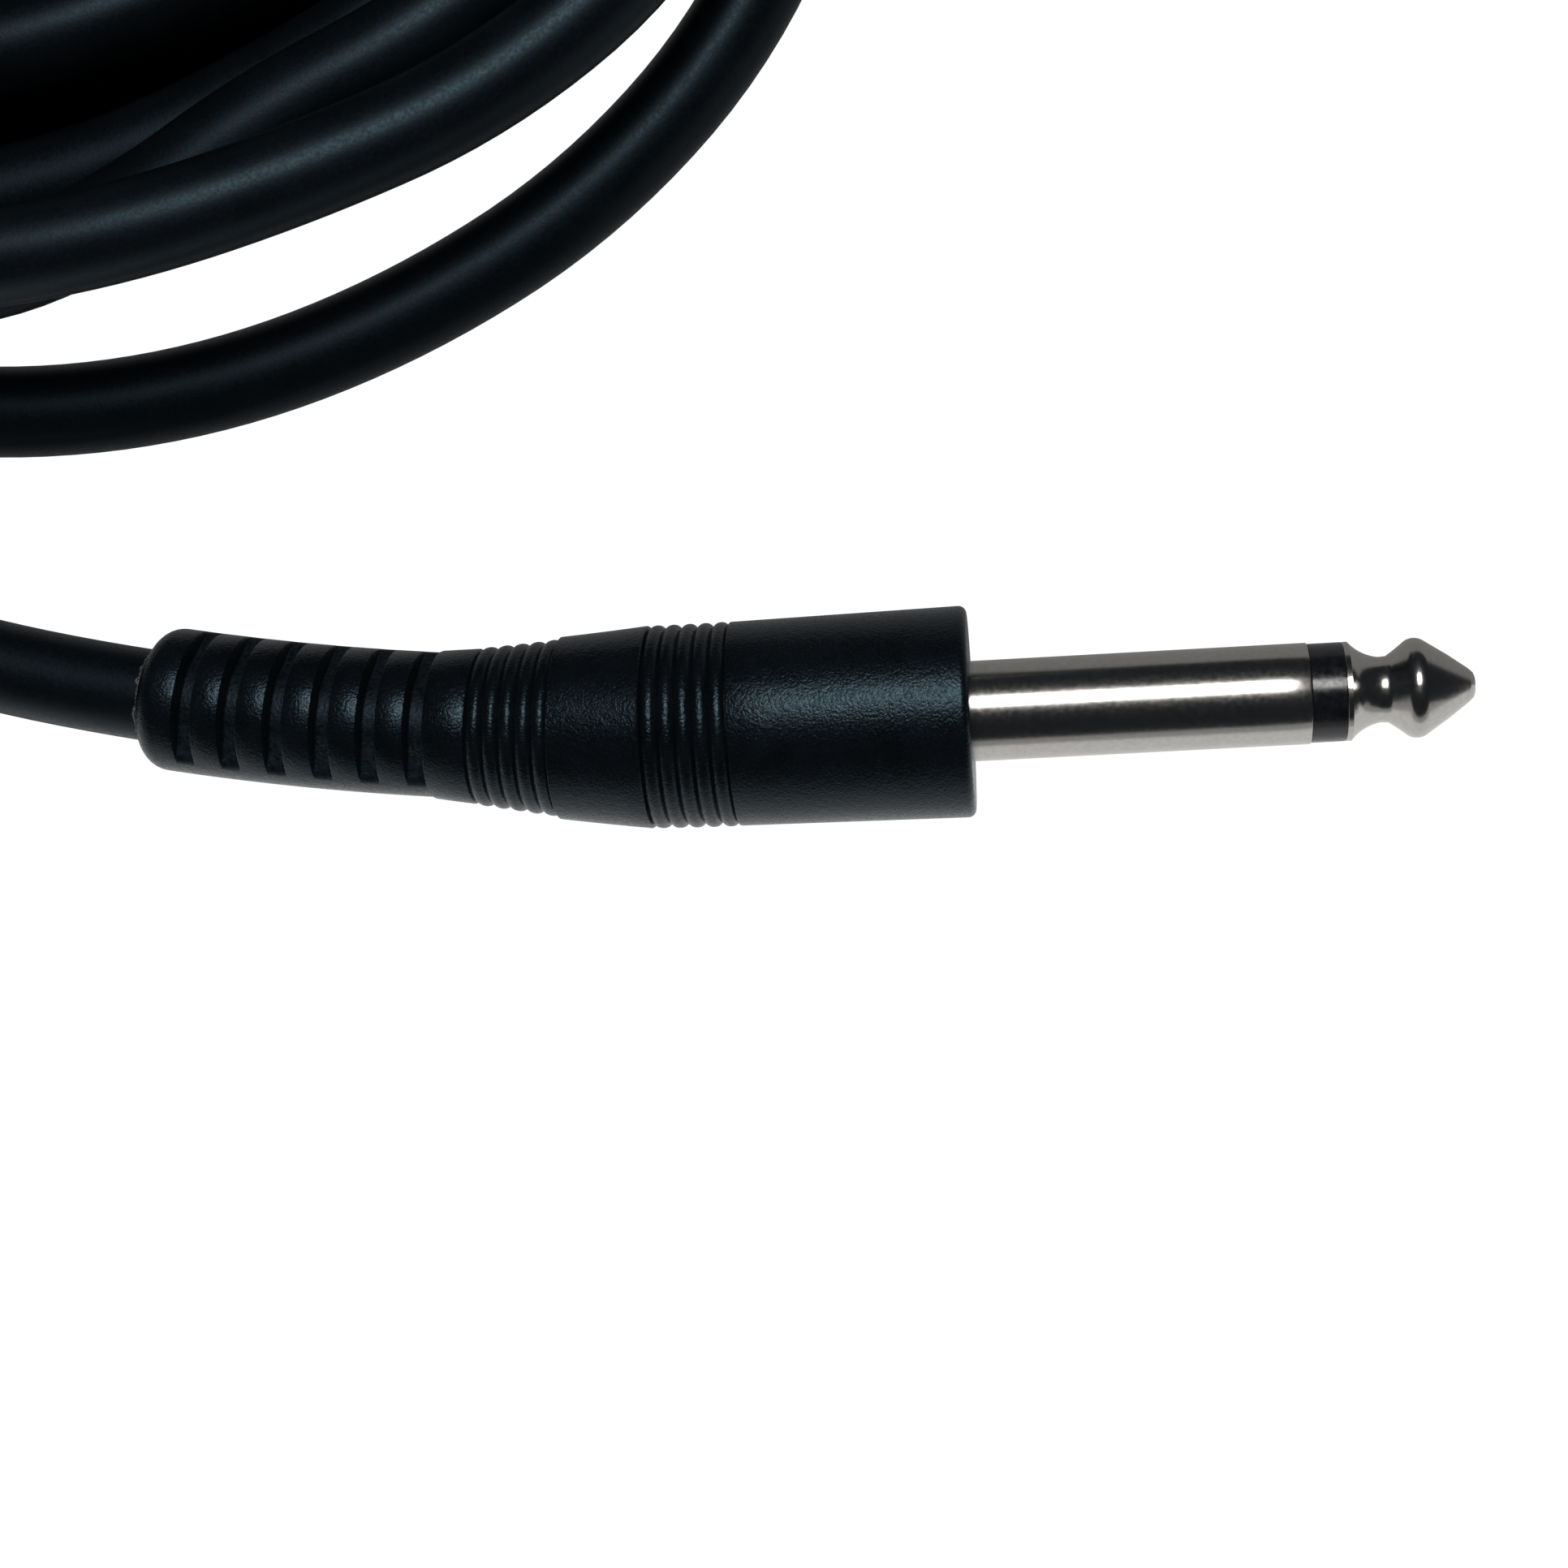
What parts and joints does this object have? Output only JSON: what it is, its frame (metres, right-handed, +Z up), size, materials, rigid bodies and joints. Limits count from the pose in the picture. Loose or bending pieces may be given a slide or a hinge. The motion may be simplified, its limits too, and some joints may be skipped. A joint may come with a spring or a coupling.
{
  "type": "instrument cable",
  "caption": "Shielded mono instrument cable with moulded straight 6.35 mm jack plugs, ribbed grips and slotted bend reliefs, lying in a loose tied coil.",
  "frame": {"origin": "bottom centre of plug A's own box, on the surface that the cable lies on; the cord, its coil and plug B are left out of that box", "axes": "+X along plug A's pin towards its tip, +Z up, +Y towards the coil"},
  "size_m": [0.1495, 0.1354, 0.0326],
  "materials": {
    "moulded_pvc": "matte moulded PVC with a fine grain",
    "cable_pvc": "satin extruded PVC",
    "nickel": "nickel plated, polished",
    "black_insulator": "semi-gloss moulded nylon",
    "white_insulator": "natural nylon",
    "tinned_brass": "tin plated brass",
    "copper": "bare copper strands",
    "conductive_pvc": "carbon loaded PVC",
    "core_pe": "natural polyethylene",
    "solder": "soft solder",
    "natural_pe": "translucent polyethylene",
    "strap": "woven hook and loop strap"
  },
  "bodies": {
    "root": {"plug_a_sleeve": "nickel", "plug_a_tip_contact": "nickel", "plug_a_front_insulator": "black_insulator", "plug_a_inner_tube": "white_insulator", "plug_a_rear_washer": "white_insulator", "plug_a_tip_lug": "tinned_brass", "plug_a_ground_lug": "tinned_brass", "plug_a_cable_jacket": "cable_pvc", "plug_a_cable_shield": "copper", "plug_a_cable_coat": "conductive_pvc", "plug_a_cable_core": "core_pe", "plug_a_cable_conductor": "copper", "plug_a_shield_pigtail": "copper", "plug_a_ground_solder": "solder", "plug_a_tip_solder": "solder", "plug_a_inner_mould": "natural_pe", "plug_a_body": "moulded_pvc", "plug_b_sleeve": "nickel", "plug_b_tip_contact": "nickel", "plug_b_front_insulator": "black_insulator", "plug_b_inner_tube": "white_insulator", "plug_b_rear_washer": "white_insulator", "plug_b_tip_lug": "tinned_brass", "plug_b_ground_lug": "tinned_brass", "plug_b_cable_jacket": "cable_pvc", "plug_b_cable_shield": "copper", "plug_b_cable_coat": "conductive_pvc", "plug_b_cable_core": "core_pe", "plug_b_cable_conductor": "copper", "plug_b_shield_pigtail": "copper", "plug_b_ground_solder": "solder", "plug_b_tip_solder": "solder", "plug_b_inner_mould": "natural_pe", "plug_b_body": "moulded_pvc", "cord_lead_a": "cable_pvc", "cord_lead_b": "cable_pvc", "cord_coil": "cable_pvc", "cord_tie": "strap"}
  },
  "joints": []
}
